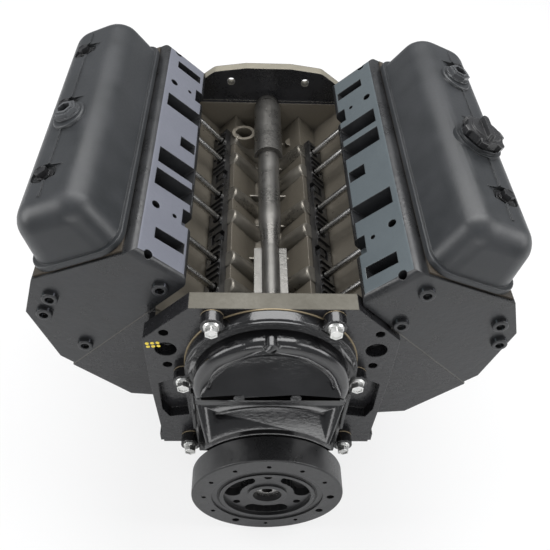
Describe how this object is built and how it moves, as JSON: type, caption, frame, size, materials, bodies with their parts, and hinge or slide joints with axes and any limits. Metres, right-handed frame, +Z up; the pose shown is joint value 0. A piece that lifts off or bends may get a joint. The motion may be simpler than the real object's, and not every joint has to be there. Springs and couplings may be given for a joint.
{
  "type": "v-six engine",
  "caption": "Ninety-degree V engine long block with pushrod valve gear, a balance shaft in its open valley, a chain-driven camshaft and a front damper.",
  "frame": {"origin": "crankshaft axis at the bell housing face", "axes": "+X to the right seen from the front, +Y to the rear along the crankshaft, +Z up between the banks"},
  "size_m": [0.4868, 0.4945, 0.4286],
  "materials": {
    "block_paint": "cast iron under satin black paint, machined faces bare",
    "head_paint": "cast iron under satin black paint, intake face grey",
    "cover_paint": "cast aluminium under satin charcoal paint",
    "front_cover_paint": "gloss black paint over a cast texture",
    "bare_iron": "bare cast iron, oiled",
    "dark_iron": "satin black coated iron",
    "machined_steel": "ground or turned steel, oiled",
    "zinc": "bright zinc plate",
    "black_bolt": "black oxide",
    "bearing": "plain bearing metal",
    "piston_alloy": "cast aluminium",
    "gasket_sheet": "tan fibre sheet",
    "dark_gasket": "moulded rubber",
    "black_plastic": "moulded plastic",
    "cap_plastic": "moulded plastic, satin",
    "fitting_steel": "grey steel",
    "rubber": "bonded rubber",
    "plug_steel": "pressed steel, painted over"
  },
  "bodies": {
    "block": {"breather_fitting_left": "fitting_steel", "breather_fitting_right": "fitting_steel", "camshaft_bearings": "bearing", "core_plugs": "plug_steel", "cylinder_block": "block_paint", "cylinder_head_left": "head_paint", "cylinder_head_right": "head_paint", "front_seal": "rubber", "head_bolts": "black_bolt", "head_gasket_left": "gasket_sheet", "head_gasket_right": "gasket_sheet", "lifter_guide_bolts": "black_bolt", "lifter_guides": "black_plastic", "main_bearing_caps": "bare_iron", "main_bearing_shells": "bearing", "main_cap_bolts": "black_bolt", "pushrods": "machined_steel", "rear_main_seal": "rubber", "rear_seal_housing": "bare_iron", "rocker_arms": "machined_steel", "rocker_studs": "machined_steel", "spring_retainers": "machined_steel", "timing_chain": "machined_steel", "timing_cover": "front_cover_paint", "timing_cover_bolts": "zinc", "timing_cover_gasket": "gasket_sheet", "valve_cover_bolts": "black_bolt", "valve_cover_gaskets": "dark_gasket", "valve_cover_left": "cover_paint", "valve_cover_right": "cover_paint", "valve_lifters": "machined_steel", "valve_springs": "machined_steel", "valves": "machined_steel"},
    "crankshaft": {"crankshaft": "machined_steel", "crank_sprocket": "machined_steel", "damper_hub": "dark_iron", "damper_rubber": "rubber", "damper_ring": "dark_iron"},
    "camshaft": {"camshaft": "bare_iron", "cam_sprocket": "machined_steel", "balance_drive_gear": "machined_steel", "cam_sprocket_bolt": "black_bolt"},
    "balance_shaft": {"balance_shaft": "bare_iron", "balance_driven_gear": "machined_steel", "balance_gear_bolt": "black_bolt"},
    "oil_filler_cap": {"oil_filler_cap": "cap_plastic"},
    "piston_1": {"piston_1": "piston_alloy", "pin_and_rings_1": "machined_steel"},
    "piston_2": {"piston_2": "piston_alloy", "pin_and_rings_2": "machined_steel"},
    "piston_3": {"piston_3": "piston_alloy", "pin_and_rings_3": "machined_steel"},
    "piston_4": {"piston_4": "piston_alloy", "pin_and_rings_4": "machined_steel"},
    "piston_5": {"piston_5": "piston_alloy", "pin_and_rings_5": "machined_steel"},
    "piston_6": {"piston_6": "piston_alloy", "pin_and_rings_6": "machined_steel"}
  },
  "joints": [
    {"name": "crankshaft_spin", "type": "hinge", "parent": "block", "child": "crankshaft", "pos_m": [0, 0, 0], "axis": [0, 1, 0], "continuous": true},
    {"name": "camshaft_spin", "type": "hinge", "parent": "block", "child": "camshaft", "pos_m": [0, 0, 0.1148], "axis": [0, 1, 0], "continuous": true},
    {"name": "balance_shaft_spin", "type": "hinge", "parent": "block", "child": "balance_shaft", "pos_m": [0, 0, 0.196], "axis": [0, 1, 0], "continuous": true},
    {"name": "piston_1_slide", "type": "slide", "parent": "block", "child": "piston_1", "axis": [-0.7071, 0, 0.7071], "range_m": [-0.04516, 0.0432]},
    {"name": "piston_2_slide", "type": "slide", "parent": "block", "child": "piston_2", "axis": [0.7071, 0, 0.7071], "range_m": [-0.07522, 0.01314]},
    {"name": "piston_3_slide", "type": "slide", "parent": "block", "child": "piston_3", "axis": [-0.7071, 0, 0.7071], "range_m": [-0.00185, 0.08651]},
    {"name": "piston_4_slide", "type": "slide", "parent": "block", "child": "piston_4", "axis": [0.7071, 0, 0.7071], "range_m": [-0.04516, 0.0432]},
    {"name": "piston_5_slide", "type": "slide", "parent": "block", "child": "piston_5", "axis": [-0.7071, 0, 0.7071], "range_m": [-0.07522, 0.01314]},
    {"name": "piston_6_slide", "type": "slide", "parent": "block", "child": "piston_6", "axis": [0.7071, 0, 0.7071], "range_m": [-0.00185, 0.08651]},
    {"name": "filler_cap_turn", "type": "hinge", "parent": "block", "child": "oil_filler_cap", "pos_m": [0.20777, -0.262, 0.31966], "axis": [0.3746, 0, 0.9272], "range_deg": [0, 90]}
  ],
  "couplings": [
    {"joint": "camshaft_spin", "follows": "crankshaft_spin", "ratio": 0.5},
    {"joint": "balance_shaft_spin", "follows": "crankshaft_spin", "ratio": -1}
  ]
}
